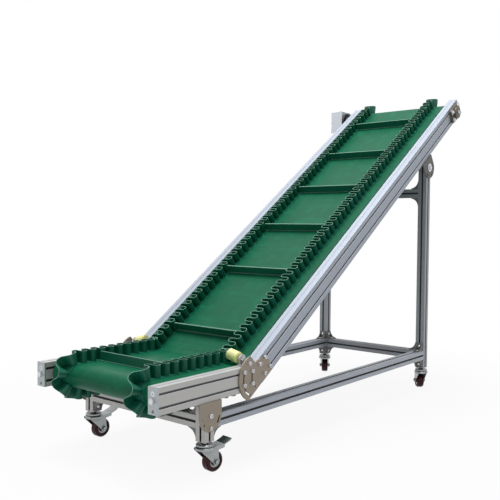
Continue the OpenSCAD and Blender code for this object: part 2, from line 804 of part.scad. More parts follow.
module wheel(i) {
    color(WINE) at_caster(i) translate([trail, 0, wheel_d / 2]) rotate([90, 0, 0])
        rotate_extrude($fn = 96) wheel_section();
}

module wheel_front_right() { wheel(0); }
module wheel_front_left() { wheel(1); }
module wheel_rear_right() { wheel(2); }
module wheel_rear_left() { wheel(3); }

rail_lower_right();
rail_lower_left();
rail_lift_right();
rail_lift_left();
tail_end_plates();
tail_tensioners();
knee_plate_right();
knee_plate_left();
cross_ties();
bed_lower();
bed_lift();
drum_tail();
drum_head();
roller_knee();
return_strips();
belt();
sidewall_right();
sidewall_left();
sidewall_bends();
cleats();
bearing_right();
bearing_left();
gearbox();
gear_flange();
motor();
motor_cover();
holddown_bracket_right();
holddown_bracket_left();
holddown_roller_right();
holddown_roller_left();
legs_front();
legs_rear();
base_rails();
cross_rail_front();
cross_rail_rear();
cross_rail_upper();
gussets();
pivots_front();
pivots_rear();
caster_stems();
fork_front_right();
fork_front_left();
fork_rear_right();
fork_rear_left();
wheel_front_right();
wheel_front_left();
wheel_rear_right();
wheel_rear_left();
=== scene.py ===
"""Dressed model of a mobile incline belt conveyor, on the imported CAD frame."""
from math import cos, pi, radians, sin, tan

import bpy
from mathutils import Matrix, Vector


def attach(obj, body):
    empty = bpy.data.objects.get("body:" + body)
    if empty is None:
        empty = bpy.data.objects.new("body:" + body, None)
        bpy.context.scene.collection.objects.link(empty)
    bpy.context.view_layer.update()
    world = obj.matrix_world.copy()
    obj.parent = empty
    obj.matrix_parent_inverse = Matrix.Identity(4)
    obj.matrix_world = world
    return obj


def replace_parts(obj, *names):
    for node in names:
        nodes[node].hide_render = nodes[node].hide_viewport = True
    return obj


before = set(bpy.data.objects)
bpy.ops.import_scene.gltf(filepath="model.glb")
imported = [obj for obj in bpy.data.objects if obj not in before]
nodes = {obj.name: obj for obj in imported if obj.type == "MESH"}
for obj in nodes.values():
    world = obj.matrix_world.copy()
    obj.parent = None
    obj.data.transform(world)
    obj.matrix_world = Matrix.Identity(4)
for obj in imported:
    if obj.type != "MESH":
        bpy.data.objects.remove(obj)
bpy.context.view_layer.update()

# Sizes of the part's source, in mm
FRAME_W, LOAD_H, LOAD_LEN, LIFT_LEN, LIFT_DEG = 576, 302, 418, 1912, 34.5
PROF, RAIL_H, SLOT_W, PLATE, KNEE_GAP = 40, 80, 8, 5, 1
WRAP_R, TAIL_INSET, HEAD_INSET = 38, 60, 66
WALL_H, WALL_INSET, WAVE_W, WAVE_LEN, WALL_T, BELT_GAP = 40, 67, 42, 36, 2.4, 6
FRONT_X, REAR_X, BASE_Z, UPPER_DROP = 210, 1690, 159, 118
WHEEL_D, WHEEL_W, TRAIL = 65, 30, 30
BEND_R, RETURN_R, SEAT = 60, 33, 0.2
PIVOT_DROP, GEAR_OUT, GEAR_DEEP, MOTOR_D, COVER_RIM, SHAFT_OUT = 42, 38, 66, 86, 1, 28
# Rows are a caster's place along X, its side and the turn of its fork in degrees
CASTERS = {"front_right": (FRONT_X, -1, -7), "front_left": (FRONT_X, 1, 0),
           "rear_right": (REAR_X, -1, 40), "rear_left": (REAR_X, 1, 32)}

RAIL_Y = FRAME_W / 2
GAP_Y = RAIL_Y - PROF
LEG_Y = RAIL_Y - PROF / 2
AXIS_Z = LOAD_H - RAIL_H / 2
LIFT = radians(LIFT_DEG)
HALF_TAN = tan(LIFT / 2)
KNEE_X = LOAD_LEN + RAIL_H / 2 * HALF_TAN
LIFT_START = RAIL_H / 2 * HALF_TAN
LIFT_END = LIFT_START + LIFT_LEN
HEAD_AT = LIFT_END - HEAD_INSET
BELT_W = 2 * (GAP_Y - BELT_GAP)
WALL_Y = BELT_W / 2 - WALL_INSET
HEAD_X = KNEE_X + HEAD_AT * cos(LIFT)
HEAD_Z = AXIS_Z + HEAD_AT * sin(LIFT)
GEAR_Y = RAIL_Y + GEAR_OUT
FAN_R = WRAP_R + WALL_H
# The source's own middle, which is the frame's origin
MIN_X = TAIL_INSET - FAN_R
MAX_X = max(HEAD_X + FAN_R, KNEE_X + LIFT_END * cos(LIFT) + RAIL_H / 2 * sin(LIFT))
MIN_Y, MAX_Y = -RAIL_Y - SHAFT_OUT, GEAR_Y + GEAR_DEEP / 2 + MOTOR_D / 2 + COVER_RIM
MID = Vector(((MIN_X + MAX_X) / 2, (MIN_Y + MAX_Y) / 2, 0))


def under_lift(x):
    """Height of the lift rails' lower face at x."""
    return AXIS_Z + (x - KNEE_X) * tan(LIFT) - RAIL_H / 2 / cos(LIFT)


FRONT_PIVOT_Z = LOAD_H - RAIL_H - PIVOT_DROP
REAR_PIVOT_Z = under_lift(REAR_X) - PIVOT_DROP / cos(LIFT)
UPPER_Z = REAR_PIVOT_Z - UPPER_DROP

# Camera, fitted to the photograph's edges: its place is in the source's mm
CAMERA_AT = Vector((-1340.854, -1710.539, 759.78))
YAW, PITCH, ROLL = radians(39.333), radians(-2.092), radians(0.483)
FOCAL_PX, PHOTO_PX, SENSOR = 700.713, 500, 36


def make_camera():
    fwd = Vector((cos(PITCH) * cos(YAW), cos(PITCH) * sin(YAW), sin(PITCH)))
    side = fwd.cross(Vector((0, 0, 1))).normalized()
    up = side.cross(fwd)
    right = cos(ROLL) * side + sin(ROLL) * up
    top = cos(ROLL) * up - sin(ROLL) * side
    data = bpy.data.cameras.new("camera")
    data.sensor_width = SENSOR
    data.lens = FOCAL_PX / PHOTO_PX * SENSOR
    camera = bpy.data.objects.new("camera", data)
    bpy.context.scene.collection.objects.link(camera)
    place = Matrix((right, top, -fwd)).transposed().to_4x4()
    place.translation = (CAMERA_AT - MID) / 1000
    camera.matrix_world = place
    bpy.context.scene.camera = camera


make_camera()


# Materials

class Nodes:
    """Short forms for building one material's node tree."""

    def __init__(self, name):
        self.mat = bpy.data.materials.new(name)
        self.mat.use_nodes = True
        self.tree = self.mat.node_tree
        self.bsdf = self.tree.nodes["Principled BSDF"]
        self.coord = self.tree.nodes.new("ShaderNodeTexCoord").outputs["Object"]

    def put(self, kind, inputs=None, **settings):
        node = self.tree.nodes.new(kind)
        for key, value in settings.items():
            setattr(node, key, value)
        for key, value in (inputs or {}).items():
            if isinstance(value, bpy.types.NodeSocket):
                self.tree.links.new(value, node.inputs[key])
            else:
                node.inputs[key].default_value = value
        return node

    def math(self, operation, a, b=0.0):
        return self.put("ShaderNodeMath", {0: a, 1: b}, operation=operation).outputs[0]

    def vector(self, operation, a, b=(0, 0, 0)):
        return self.put("ShaderNodeVectorMath", {0: a, 1: b}, operation=operation).outputs["Vector"]

    def turned(self, angle, coord=None):
        """The coordinates with X along a rail that rises by angle."""
        return self.put("ShaderNodeVectorRotate", {"Vector": coord or self.coord, "Angle": angle},
                        rotation_type="Y_AXIS").outputs["Vector"]

    def noise(self, scale, detail=3.0, coord=None, stretch=(1, 1, 1)):
        coord = self.vector("MULTIPLY", coord or self.coord, stretch)
        inputs = {"Vector": coord, "Scale": scale, "Detail": detail}
        return self.put("ShaderNodeTexNoise", inputs).outputs["Fac"]

    def mix(self, fac, a, b):
        node = self.put("ShaderNodeMix", data_type="RGBA")
        for socket, value in ((node.inputs[0], fac), (node.inputs[6], a), (node.inputs[7], b)):
            if isinstance(value, bpy.types.NodeSocket):
                self.tree.links.new(value, socket)
            else:
                socket.default_value = value
        return node.outputs[2]

    def spread(self, value, low, high, start=0.3, end=0.7):
        return self.put("ShaderNodeMapRange", {"Value": value, "From Min": start, "From Max": end,
                                               "To Min": low, "To Max": high}).outputs[0]

    def set(self, name, value):
        if isinstance(value, bpy.types.NodeSocket):
            self.tree.links.new(value, self.bsdf.inputs[name])
        else:
            self.bsdf.inputs[name].default_value = value

    def bump(self, height, strength, distance=0.0005):
        node = self.put("ShaderNodeBump", {"Height": height, "Strength": strength, "Distance": distance})
        self.set("Normal", node.outputs[0])


def rgb(r, g, b):
    """Linear colour from an sRGB one in 0 to 255."""
    parts = (c / 255 for c in (r, g, b))
    return tuple(((c + 0.055) / 1.055) ** 2.4 if c > 0.04 else c / 12.92 for c in parts) + (1,)


def scaled(colour, k):
    return tuple(min(1, c * k) for c in colour[:3]) + (1,)


def metal(name, colour, rough=0.35, metallic=0.9, grain=(4, 260, 260), angle=0.0, spread=0.05,
          bump=0.15, n=None):
    """Brushed or drawn metal with its grain along X once turned by angle."""
    n = n or Nodes(name)
    coord = n.turned(angle)
    lines = n.noise(1.0, 2.0, coord, grain)
    cloud = n.noise(9.0, 4.0)
    n.set("Base Color", n.mix(lines, scaled(colour, 1 - 2 * spread), scaled(colour, 1 + spread)))
    n.set("Metallic", metallic)
    n.set("Roughness", n.math("ADD", n.spread(lines, rough - 0.04, rough + 0.06),
                              n.spread(cloud, -0.04, 0.05)))
    n.bump(lines, bump, 0.0002)
    return n


# Colour of the painted shade that darkens crevices on the forks and wheels
CREVICE_SHADE = rgb(14, 12, 12)


def paint_crevice_shade(n, reach):
    """Painted shade: darkens a material where other faces stand within reach, in metres."""
    near = n.put("ShaderNodeAmbientOcclusion", {"Distance": reach}, samples=8).outputs["AO"]
    outer = n.bsdf.inputs["Base Color"].links[0].from_socket
    n.set("Base Color", n.mix(n.spread(near, 0.85, 0.0, 0.25, 0.95), outer, CREVICE_SHADE))
    return n


def inside(n, centre, half, angle=0.0, pair=True):
    """1 on the walls of a profile's slots, where painted shade goes, 0 on its outer faces. Sizes in mm."""
    shift = n.vector("ADD", n.coord, tuple(MID / 1000))
    split = n.put("ShaderNodeSeparateXYZ", {0: shift})
    y = n.math("ABSOLUTE", split.outputs[1])
    y = n.math("SUBTRACT", y, LEG_Y / 1000 if pair else 0.0)
    joined = n.put("ShaderNodeCombineXYZ", {0: split.outputs[0], 1: y, 2: split.outputs[2]}).outputs[0]
    moved = n.vector("SUBTRACT", joined, (centre[0] / 1000, 0, centre[1] / 1000))
    split = n.put("ShaderNodeSeparateXYZ", {0: n.vector("ABSOLUTE", n.turned(angle, moved))})
    mask = 1.0
    for i in range(3):
        mask = n.math("MULTIPLY", n.math("LESS_THAN", split.outputs[i], (half[i] - LIP) / 1000), mask)
    return mask


# ALU is the profiles' own colour; the lift, rear and base colours below are darker, bluish copies of it that
# paint shade onto those rails
ALU = rgb(202, 201, 199)
LIFT_ALU_SHADED = rgb(176, 184, 197)
REAR_ALU_SHADED = rgb(166, 170, 176)
BASE_ALU_SHADED = rgb(180, 186, 196)
# Colour of the painted shade inside the profiles' slots
SLOT_SHADE = rgb(64, 64, 66)
# How metallic anodised aluminium is
SHEEN = 0.3
# How deep the plain outer surface goes into a slot, in mm
LIP = 3.4


def profile(name, centre, half, grain, angle=0.0, pair=True, colour=ALU):
    """Anodised profile with painted shade inside its slots: dark and not metallic there."""
    n = Nodes("anodised_" + name)
    metal(n.mat.name, colour, 0.46, SHEEN, grain, angle, 0.04, 0.04, n)
    mask = inside(n, centre, half, angle, pair)
    outer = n.bsdf.inputs["Base Color"].links[0].from_socket
    # Painted shade: the slots' walls turn dark and lose their metallic reflection
    n.set("Base Color", n.mix(mask, outer, SLOT_SHADE))
    n.set("Metallic", n.math("MULTIPLY", n.math("SUBTRACT", 1.0, mask), SHEEN))
    return n.mat


def paint(name, colour, rough=0.4, coat=0.0, scale=420.0, bump=0.06, spread=0.06):
    """Painted, cast or moulded surface with a fine skin."""
    n = Nodes(name)
    skin = n.noise(scale, 3.0)
    cloud = n.noise(7.0, 4.0)
    n.set("Base Color", n.mix(cloud, scaled(colour, 1 - spread), scaled(colour, 1 + spread)))
    n.set("Roughness", n.spread(cloud, rough - 0.05, rough + 0.07))
    n.set("Coat Weight", coat)
    n.bump(skin, bump, 0.0003)
    return n


GREEN = rgb(8, 92, 64)
WALL_GREEN = rgb(14, 100, 78)
# Pale colour of the painted highlight on the top edges of sidewalls, fans and cleats
EDGE_HIGHLIGHT = rgb(120, 165, 145)


def rubber(name, colour, rough=0.38, gloss=0.2, edges=False, worn=False):
    """Green belt cover; with edges, faces that face away from the belt get a pale painted highlight, and a
    worn top is scuffed.
    """
    n = Nodes(name)
    cloud = n.noise(6.0, 5.0)
    streak = n.noise(1.0, 3.0, n.turned(LIFT), (5, 60, 60))
    weave = n.noise(900.0, 2.0)
    tone = n.mix(cloud, scaled(colour, 0.86), scaled(colour, 1.14))
    tone = n.mix(n.spread(streak, 0.0, 0.35), tone, scaled(colour, 1.3))
    if worn:
        scuff = n.noise(24.0, 6.0)
        tone = n.mix(n.spread(scuff, 0.0, 0.4, 0.5, 0.72), tone, scaled(colour, 1.8))
        creases = n.noise(1.0, 2.0, stretch=(120, 3, 120))
        tone = n.mix(n.spread(creases, 0.0, 0.35, 0.54, 0.7), tone, scaled(colour, 1.8))
    if edges:
        normal = n.put("ShaderNodeNewGeometry").outputs["Normal"]
        up = n.vector("ABSOLUTE", n.turned(LIFT, normal))
        lift = n.put("ShaderNodeSeparateXYZ", {0: up}).outputs[2]
        level = n.math("ABSOLUTE", n.put("ShaderNodeSeparateXYZ", {0: normal}).outputs[2])
        top = n.math("MAXIMUM", lift, level)
        # Painted highlight on faces that face away from the belt
        tone = n.mix(n.spread(top, 0.0, 0.75, 0.97, 0.99), tone, EDGE_HIGHLIGHT)
    n.set("Base Color", tone)
    n.set("Roughness", n.spread(cloud, rough, rough + 0.1))
    n.set("Specular IOR Level", gloss)
    n.bump(weave, 0.12, 0.0003)
    return n.mat


def wear(material, *keys):
    """Gives one material to CAD nodes."""
    for key in keys:
        data = nodes[key].data
        data.materials.clear()
        data.materials.append(material)


# Noise scales of a grain that runs along X, Y or Z
ALONG, CROSS, TOWER = (6, 420, 420), (420, 6, 420), (420, 420, 6)
HALF = PROF / 2
# Middles and half lengths that reach past the legs' and base rails' ends, where the slots stay open
FRONT_LEG, REAR_LEG, PAST_BASE = (150, 400), (600, 1000), 1500
lift_mid = LIFT_START + KNEE_GAP + (LIFT_LEN - KNEE_GAP) / 2
lift_centre = (KNEE_X + lift_mid * cos(LIFT), AXIS_Z + lift_mid * sin(LIFT))
# The lift, rear and base rails wear shaded copies of the profile colour: painted shade
wear(profile("level", (LOAD_LEN / 2, AXIS_Z), ((LOAD_LEN - KNEE_GAP) / 2, HALF, RAIL_H / 2), ALONG),
     "rail_lower_right", "rail_lower_left")
wear(profile("lift", lift_centre, (LIFT_LEN / 2, HALF, RAIL_H / 2), ALONG, LIFT, colour=LIFT_ALU_SHADED),
     "rail_lift_right", "rail_lift_left")
wear(profile("front_legs", (FRONT_X, FRONT_LEG[0]), (HALF, HALF, FRONT_LEG[1]), TOWER), "legs_front")
wear(profile("rear_legs", (REAR_X, REAR_LEG[0]), (HALF, HALF, REAR_LEG[1]), TOWER, colour=REAR_ALU_SHADED),
     "legs_rear")
wear(profile("base", ((FRONT_X + REAR_X) / 2, BASE_Z), (PAST_BASE, HALF, HALF), ALONG, colour=BASE_ALU_SHADED),
     "base_rails")
for key, x, z, colour in (("cross_rail_front", FRONT_X, BASE_Z, ALU),
                          ("cross_rail_rear", REAR_X, BASE_Z, REAR_ALU_SHADED),
                          ("cross_rail_upper", REAR_X, UPPER_Z, REAR_ALU_SHADED)):
    wear(profile(key, (x, z), (HALF, GAP_Y, HALF), CROSS, pair=False, colour=colour), key)
wear(metal("anodised_ties", ALU, 0.38, SHEEN, CROSS).mat, "cross_ties")
wear(metal("anodised_ends", rgb(186, 193, 196), 0.34, 0.45, (300, 300, 6)).mat, "tail_end_plates")

# Plates, castings and hardware
wear(metal("plate_steel", rgb(150, 140, 127), 0.42, 0.7, (30, 300, 260), LIFT, 0.08, 0.25).mat,
     "knee_plate_right", "knee_plate_left", "pivots_front")
# The rear pivots wear a darker copy of the plate steel: painted shade
wear(metal("plate_steel_shaded", rgb(98, 97, 94), 0.4, 0.7, (30, 300, 260), 0, 0.08, 0.25).mat, "pivots_rear")
wear(paint("cast_alu", rgb(140, 138, 136), 0.5, bump=0.3, scale=260.0).mat, "gussets")
wear(paint("bearing_cast", rgb(98, 90, 76), 0.36, bump=0.3, scale=260.0).mat, "bearing_right", "bearing_left")
wear(metal("bracket_steel", rgb(206, 205, 203), 0.36, 0.5, (300, 300, 40), 0, 0.06, 0.1).mat,
     "holddown_bracket_right", "holddown_bracket_left")
wear(metal("sheet_steel", rgb(180, 182, 184), 0.35, 0.9, ALONG, LIFT).mat,
     "bed_lower", "bed_lift", "drum_tail", "drum_head", "roller_knee")
PLATED = (60, 60, 60)
ZINC = metal("zinc", rgb(214, 216, 219), 0.24, 0.9, PLATED, 0, 0.08, 0.08).mat
BRIGHT = metal("screw_zinc", rgb(226, 228, 232), 0.3, 0.6, PLATED, 0, 0.06, 0.06).mat
# Washers' colour, dark as painted shade round the hold-down brackets' screws
SHADE_RING = metal("washer_shade", rgb(92, 92, 90), 0.4, 0.7, PLATED, 0, 0.1, 0.1).mat
# The forks get painted shade in their crevices
FORK = paint_crevice_shade(metal("fork_zinc", rgb(168, 172, 173), 0.26, 0.75, PLATED, 0, 0.12, 0.1), 0.018).mat
wear(ZINC, "tail_tensioners")
wear(FORK, "caster_stems", *("fork_" + name for name in CASTERS))
# The wheels get painted shade in their crevices
wine = paint_crevice_shade(paint("wheel_wine", rgb(62, 18, 26), 0.4, 0.0, 300.0, 0.05, 0.15), 0.02)
wine.set("Specular IOR Level", 0.2)
wear(wine.mat, *("wheel_" + name for name in CASTERS))
wear(paint("roller_cream", rgb(255, 254, 178), 0.4, 0.1, 200.0, 0.05, 0.02).mat,
     "holddown_roller_right", "holddown_roller_left")

# Belt and drive
WALL_SIDES = rubber("belt_green_fans", WALL_GREEN, 0.36, 0.4)
WALL_EDGE_HIGHLIGHT = rubber("belt_green_edge_highlight", EDGE_HIGHLIGHT)
wear(rubber("belt_green", GREEN, gloss=0.14, worn=True), "belt")
wear(rubber("belt_green_walls", WALL_GREEN, 0.36, 0.3, True),
     "sidewall_right", "sidewall_left", "sidewall_bends", "cleats")
wear(paint("strip_white", rgb(228, 228, 222), 0.5).mat, "return_strips")
DRIVE = paint("drive_paint", rgb(236, 242, 252), 0.35, 0.3, 300.0, 0.1).mat
BLACK = paint("black", rgb(26, 27, 30), 0.45, 0.0, 500.0, 0.15, 0.2).mat
wear(DRIVE, "gearbox", "motor")
wear(BLACK, "gear_flange", "motor_cover")


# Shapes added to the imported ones

class Shape:
    """A mesh gathered from lathed and straight pieces, in source millimetres."""

    def __init__(self, name, *materials):
        self.name, self.materials = name, materials
        self.points, self.faces, self.kinds, self.round = [], [], [], []

    def faces_of(self, points, faces, place=Matrix(), kind=0, smooth=False):
        base = len(self.points)
        self.points += [place @ Vector(p) for p in points]
        self.faces += [tuple(base + i for i in f) for f in faces]
        self.kinds += [kind] * len(faces)
        self.round += [smooth] * len(faces)

    def lathe(self, rows, place=Matrix(), sides=24, kind=0):
        """Rows of radius and height turned round Z; a radius of 0 closes the form."""
        points, rings = [], []
        for r, z in rows:
            n = 1 if r == 0 else sides
            rings.append((len(points), n))
            points += [(r * cos(2 * pi * i / sides), r * sin(2 * pi * i / sides), z) for i in range(n)]
        faces = []
        for (a, n), (b, m) in zip(rings, rings[1:]):
            for i in range(sides):
                j = (i + 1) % sides
                quad = (a + i % n, a + j % n, b + j % m, b + i % m)
                faces.append(tuple(dict.fromkeys(quad)))
        self.faces_of(points, faces, place, kind)

    def prism(self, outline, low, high, place=Matrix(), kind=0):
        """A convex outline in X and Y with walls along Z."""
        n = len(outline)
        points = [(x, y, z) for z in (low, high) for x, y in outline]
        faces = [tuple(range(n - 1, -1, -1)), tuple(range(n, 2 * n))]
        faces += [(i, (i + 1) % n, n + (i + 1) % n, n + i) for i in range(n)]
        self.faces_of(points, faces, place, kind)

    def block(self, low, high, place=Matrix(), kind=0):
        (x0, y0, z0), (x1, y1, z1) = low, high
        self.prism([(x0, y0), (x1, y0), (x1, y1), (x0, y1)], z0, z1, place, kind)

    def done(self, body="frame"):
        mesh = bpy.data.meshes.new(self.name)
        mesh.from_pydata([(p - MID) / 1000 for p in self.points], [], self.faces)
        for material in self.materials:
            mesh.materials.append(material)
        mesh.polygons.foreach_set("material_index", self.kinds)
        mesh.polygons.foreach_set("use_smooth", self.round)
        mesh.update()
        piece = bpy.data.objects.new(self.name, mesh)
        bpy.context.scene.collection.objects.link(piece)
        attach(piece, body)
        return piece


def toward(at, way, spin=0.0):
    """A place with Z along way."""
    turn = Vector((0, 0, 1)).rotation_difference(Vector(way)).to_matrix().to_4x4()
    return Matrix.Translation(at) @ turn @ Matrix.Rotation(spin, 4, "Z")


def on_lift(along, across, y):
    """A point of the lift's side view: along from the knee, across upward."""
    return Vector((KNEE_X + along * cos(LIFT) - across * sin(LIFT), y,
                   AXIS_Z + along * sin(LIFT) + across * cos(LIFT)))


def hex_bolt(shape, at, way, size=13.0, washer=1.6, spin=0.3, kind=0):
    """Hexagon head of the given width over a washer of the given thickness."""
    r = size / 2 / cos(pi / 6)
    high = size * 0.42
    spot = toward(at, way, spin)
    if washer:
        rim = size * 0.92
        shape.lathe([(0, 0), (rim, 0), (rim, washer - 0.3), (size * 0.86, washer), (0, washer)],
                    spot, 32, kind)
    top = washer + high
    shape.lathe([(0, washer), (r, washer), (r, top - 0.9), (r - 1.1, top), (r - 2.6, top),
                 (r - 3.2, top - 0.5), (0, top - 0.5)], spot, 6, kind)


def cap_screw(shape, at, way, size=11.0, high=8.0, kind=0):
    """Socket head cap screw."""
    r = size / 2
    shape.lathe([(0, 0), (r, 0), (r, high - 0.7), (r - 0.7, high), (r * 0.56, high), (r * 0.5, high - 3.5),
                 (0, high - 3.5)], toward(at, way), 24, kind)


def button_screw(shape, at, way, size=11.0, kind=0):
    """Low round head with a socket."""
    r = size / 2
    socket = r * 0.42
    shape.lathe([(0, 0), (r, 0), (r, 0.8), (r * 0.8, 2.4), (r * 0.5, 3.0), (socket, 3.0), (socket, 1.2),
                 (0, 1.2)], toward(at, way), 24, kind)


# Sidewall bends: the waves fan out or close up, and the sheet nearly keeps its length

# The belt's path has straight stretches and bends by turns, and starts with a straight one
STRETCHES = 8
BENDS = range(1, STRETCHES, 2)
# Wave lengths are whole multiples of this
WAVE_UNIT = 0.04
# How far a bend's change of length eases into the straights beside it
SOFT = 9.0


class Path:
    """The belt's outer face in the side view, from the top of the tail drum."""

    def __init__(self):
        bend, back = BEND_R * HALF_TAN, RETURN_R * HALF_TAN
        wrap = WRAP_R * HALF_TAN
        # Rows are length and turn
        self.rows = [(KNEE_X - wrap - bend - TAIL_INSET, 0), (BEND_R * LIFT, LIFT),
                     (HEAD_AT - wrap - bend, 0), (pi * WRAP_R, -pi),
                     (HEAD_AT + wrap - back, 0), (RETURN_R * LIFT, -LIFT),
                     (KNEE_X + wrap - back - TAIL_INSET, 0), (pi * WRAP_R, -pi)]
        self.runs, self.starts = [0.0], [(TAIL_INSET, AXIS_Z + WRAP_R, 0.0)]
        for length, turn in self.rows:
            self.starts.append(self.moved(self.starts[-1], length, turn))
            self.runs.append(self.runs[-1] + length)
        self.loop = self.runs[-1]

    @staticmethod
    def moved(start, length, turn):
        x, z, way = start
        if turn == 0:
            return (x + length * cos(way), z + length * sin(way), way)
        r = length / turn
        return (x + r * (sin(way + turn) - sin(way)), z - r * (cos(way + turn) - cos(way)), way + turn)

    def at(self, s):
        s %= self.loop
        i = max(k for k in range(STRETCHES) if self.runs[k] <= s)
        length, turn = self.rows[i]
        return self.moved(self.starts[i], s - self.runs[i], turn * (s - self.runs[i]) / length)

    def point(self, s, y, h):
        x, z, way = self.at(s)
        return Vector((x - h * sin(way), y, z + h * cos(way)))

    def spread(self, s, h, i):
        """How much longer the belt's path is at height h, near bend i."""
        length, turn = self.rows[i]
        r = length / abs(turn)
        full = (r + h) / r if turn < 0 else (r - h) / r
        a, b = self.runs[i], self.runs[i + 1]
        t = min((s - a + SOFT) / (2 * SOFT), (b + SOFT - s) / (2 * SOFT))
        t = min(1.0, max(0.0, t))
        return 1 + (full - 1) * t * t * (3 - 2 * t)

    def wave_ends(self, i):
        """First and last distance of the straight run i's whole waves."""
        ease = [max(0.0, (WAVE_LEN - self.rows[k % STRETCHES][0]) / 2) for k in (i - 1, i + 1)]
        room = self.rows[i][0] - sum(ease)
        n = round(room / WAVE_LEN)
        p = WAVE_UNIT * int(room / n / WAVE_UNIT)
        first = self.runs[i] + ease[0] + (room - n * p) / 2
        return first, first + n * p


PATH = Path()


# Most that a meander swings, in radians, how often that range is halved, and points of its mean
MOST_SWING, HALVINGS, MEAN_OF = 2.3, 20, 24


def swing(ratio):
    """Greatest angle of a meander whose length is 1 and whose pitch is ratio."""
    low, high = 0.0, MOST_SWING
    for _ in range(HALVINGS):
        mid = (low + high) / 2
        mean = sum(cos(mid * cos(pi * (k + 0.5) / MEAN_OF)) for k in range(MEAN_OF)) / MEAN_OF
        low, high = (mid, high) if mean > ratio else (low, mid)
    return low


# How much longer the rubber sheet grows where it opens to twice its pitch
STRETCH = 0.2
# Points along one wave, and levels up the sheet
WAVE_STEPS, LEVELS = 40, 8


def fan(shape, i, y0):
    """Waves round the bend i at the sidewall whose middle is y0."""
    first = PATH.wave_ends(i - 1)[1]
    last = PATH.wave_ends((i + 1) % STRETCHES)[0] + (PATH.loop if i == STRETCHES - 1 else 0)
    n = max(1, round((last - first) / WAVE_LEN))
    pitch = (last - first) / n
    sheet = pi * WAVE_LEN / 2 + 2 * (WAVE_W - WALL_T - WAVE_LEN / 2)
    steps = WAVE_STEPS * n
    sheet_step = sheet / WAVE_STEPS
    points = []
    for level in range(LEVELS):
        h = SEAT + WALL_H * level / (LEVELS - 1)
        s, y, line = first, 0.0, []
        for k in range(steps + 1):
            line.append([s, y])
            wide = PATH.spread(s, h, i)
            grown = 1 + STRETCH * max(0.0, wide - 1)
            way = swing(min(0.99, pitch * wide / sheet / grown)) * cos(2 * pi * (k + 0.5) / WAVE_STEPS)
            step = (cos(way) * grown * sheet_step / wide, sin(way) * grown * sheet_step)
            s += step[0]
            y += step[1]
        miss, drift = s - step[0] - last, y - step[1]
        for k, spot in enumerate(line):
            spot[0] -= miss * k / steps
            spot[1] -= drift * k / steps
        for k, (s, y) in enumerate(line):
            a, b = line[max(0, k - 1)], line[min(steps, k + 1)]
            wide = PATH.spread(s, h, i)
            t = Vector(((b[0] - a[0]) * wide, b[1] - a[1])).normalized()
            if k in (0, steps):
                t = Vector((0, 1))
            for half in (WALL_T / 2, -WALL_T / 2):
                points.append(PATH.point(s - half * t.y / wide, y0 + y + half * t.x, h))
    row = 2 * (steps + 1)
    faces, edge = [], []
    for level in range(LEVELS - 1):
        for k in range(steps):
            a, b = level * row + 2 * k, (level + 1) * row + 2 * k
            faces += [(a, a + 2, b + 2, b), (a + 1, b + 1, b + 3, a + 3)]
    top = (LEVELS - 1) * row
    for k in range(steps):
        faces.append((2 * k, 2 * k + 1, 2 * k + 3, 2 * k + 2))
        edge.append((top + 2 * k, top + 2 * k + 2, top + 2 * k + 3, top + 2 * k + 1))
    shape.faces_of(points, faces, smooth=True)
    # The fans' top edges take the painted highlight
    shape.faces_of(points, edge, kind=1)


# Turn between two points of a strip, its side past the waves, and its two faces over the belt
STRIP_TURN, STRIP_SIDE, STRIP_LOW, STRIP_HIGH = radians(4), 4, 0.05, 1.3


def strip(shape, y, half, low, high):
    """A flat strip on the belt round its whole loop."""
    stops = []
    for i in range(STRETCHES):
        n = max(1, round(abs(PATH.rows[i][1]) / STRIP_TURN))
        stops += [PATH.runs[i] + PATH.rows[i][0] * k / n for k in range(n)]
    ring = [(-half, low), (half, low), (half, high), (-half, high)]
    points = [PATH.point(s, y + dy, h) for s in stops for dy, h in ring]
    m = len(stops)
    faces = [(4 * k + j, 4 * k + (j + 1) % 4, 4 * ((k + 1) % m) + (j + 1) % 4, 4 * ((k + 1) % m) + j)
             for k in range(m) for j in range(4)]
    shape.faces_of(points, faces)


fans = Shape("sidewall_fans", WALL_SIDES, WALL_EDGE_HIGHLIGHT)
for side in (-1, 1):
    for bend in BENDS:
        fan(fans, bend, side * WALL_Y)
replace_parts(fans.done(), "sidewall_bends")

strips = Shape("sidewall_strips", WALL_SIDES)
for side in (-1, 1):
    strip(strips, side * WALL_Y, WAVE_W / 2 + STRIP_SIDE, STRIP_LOW, STRIP_HIGH)
strips.done()

# Cover strips in the T-slots of the rails' outer and top faces, and a chamfer at each outer slot's lower lip.
# The outer strips are dark grey, partly their own grey and partly painted slot shade, and the chamfers are
# near white as a painted highlight
COVER_IN, TOP_IN, COVER_T, CHAMFER = 3.2, 0.9, 1.0, 1.2
